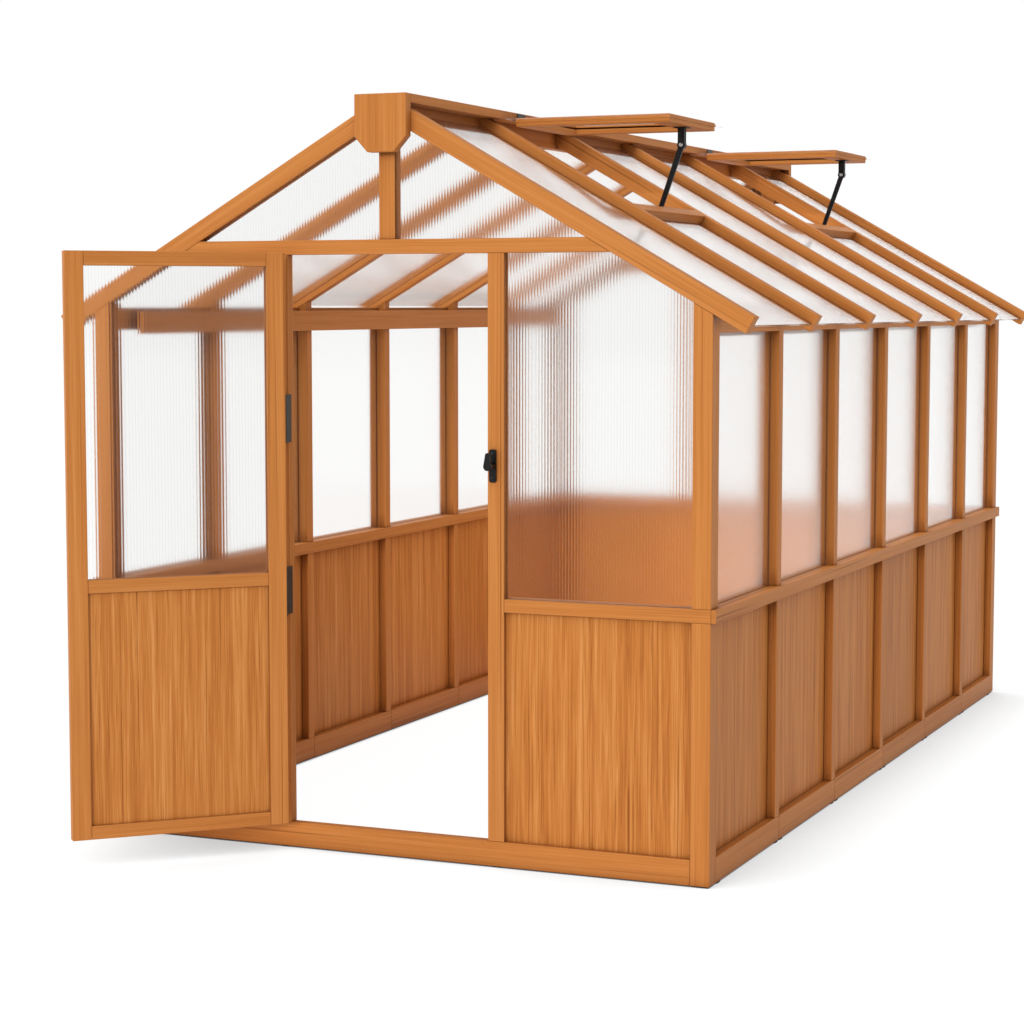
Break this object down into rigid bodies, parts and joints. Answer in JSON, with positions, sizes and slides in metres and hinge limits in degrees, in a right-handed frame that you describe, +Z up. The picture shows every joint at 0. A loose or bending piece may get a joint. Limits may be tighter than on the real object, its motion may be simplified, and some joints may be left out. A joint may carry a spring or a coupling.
{
  "type": "wooden greenhouse",
  "caption": "Walk-in timber greenhouse with boarded lower walls, fluted clear sheets above, a pitched roof with opening vents on stays, and a hinged half-glazed door.",
  "frame": {"origin": "on the ground, at the middle of the floor area taken up with the door standing open", "axes": "+X to the right seen from the door, +Y from the door to the rear gable, +Z up"},
  "size_m": [2.184, 4.2032, 2.181],
  "materials": {
    "stained_timber": "orange-brown stained softwood, satin",
    "stained_boards": "orange-brown stained boards with vertical grain, satin",
    "fluted_sheet": "clear twin-wall sheet with fine flutes",
    "black_metal": "black satin powder coat",
    "hinge_steel": "dull grey steel",
    "foot_rubber": "black rubber"
  },
  "bodies": {
    "frame": {"collars": "stained_timber", "door_hinge_pins": "hinge_steel", "door_hinge_post": "stained_timber", "door_jamb_leaves": "hinge_steel", "door_latch_post": "stained_timber", "eave_headers": "stained_timber", "foot_pads": "foot_rubber", "front_boards": "stained_boards", "front_sheets": "fluted_sheet", "front_sills": "stained_timber", "gable_base_rails": "stained_timber", "gable_rafters": "stained_timber", "king_posts": "stained_timber", "latch_plate": "black_metal", "left_rafters": "stained_timber", "left_roof_sheets": "fluted_sheet", "left_sill": "stained_timber", "left_wall_boards": "stained_boards", "left_wall_sheets": "fluted_sheet", "lower_corner_posts": "stained_timber", "lower_studs": "stained_timber", "rear_boards": "stained_boards", "rear_posts": "stained_timber", "rear_sheets": "fluted_sheet", "rear_sills": "stained_timber", "ridge_beam": "stained_timber", "ridge_blocks": "stained_timber", "ridge_cap": "stained_timber", "right_rafters": "stained_timber", "right_roof_sheets": "fluted_sheet", "right_sill": "stained_timber", "right_wall_boards": "stained_boards", "right_wall_sheets": "fluted_sheet", "side_base_rails": "stained_timber", "stay_keepers": "black_metal", "upper_corner_posts": "stained_timber", "upper_studs": "stained_timber", "vent_crossbars": "stained_timber", "vent_hinge_fixed_leaves": "black_metal", "wall_plates": "stained_timber"},
    "door": {"door_boards": "stained_boards", "door_sheet": "fluted_sheet", "door_stiles": "stained_timber", "door_rails": "stained_timber", "door_hinge_leaves": "hinge_steel"},
    "latch_lever": {"latch_lever": "black_metal"},
    "front_vent": {"front_vent_stiles": "stained_timber", "front_vent_rails": "stained_timber", "front_vent_sheet": "fluted_sheet", "front_vent_hinge_leaves": "black_metal", "front_stay_bracket": "black_metal"},
    "front_stay": {"front_stay_arm": "black_metal"},
    "rear_vent": {"rear_vent_stiles": "stained_timber", "rear_vent_rails": "stained_timber", "rear_vent_sheet": "fluted_sheet", "rear_vent_hinge_leaves": "black_metal", "rear_stay_bracket": "black_metal"},
    "rear_stay": {"rear_stay_arm": "black_metal"}
  },
  "joints": [
    {"name": "door_swing", "type": "hinge", "parent": "frame", "child": "door", "pos_m": [-0.31225, -1.62838, 0.9], "axis": [0, 0, 1], "range_deg": [-40, 135]},
    {"name": "latch_turn", "type": "hinge", "parent": "frame", "child": "latch_lever", "pos_m": [0.333, -1.63038, 1.142], "axis": [0, -1, 0], "range_deg": [0, 90]},
    {"name": "front_vent_hinge", "type": "hinge", "parent": "frame", "child": "front_vent", "pos_m": [0.087, -0.65538, 2.1625], "axis": [0, 1, 0], "range_deg": [0, 29.5]},
    {"name": "front_stay_pivot", "type": "hinge", "parent": "front_vent", "child": "front_stay", "pos_m": [0.557, -0.65538, 2.082], "axis": [0, 1, 0], "range_deg": [-12, 0]},
    {"name": "rear_vent_hinge", "type": "hinge", "parent": "frame", "child": "rear_vent", "pos_m": [0.087, 1.17462, 2.1625], "axis": [0, 1, 0], "range_deg": [0, 29.5]},
    {"name": "rear_stay_pivot", "type": "hinge", "parent": "rear_vent", "child": "rear_stay", "pos_m": [0.557, 1.17462, 2.082], "axis": [0, 1, 0], "range_deg": [-12, 0]}
  ],
  "couplings": [
    {"joint": "front_stay_pivot", "follows": "front_vent_hinge", "ratio": -0.35},
    {"joint": "rear_stay_pivot", "follows": "rear_vent_hinge", "ratio": -0.35}
  ]
}
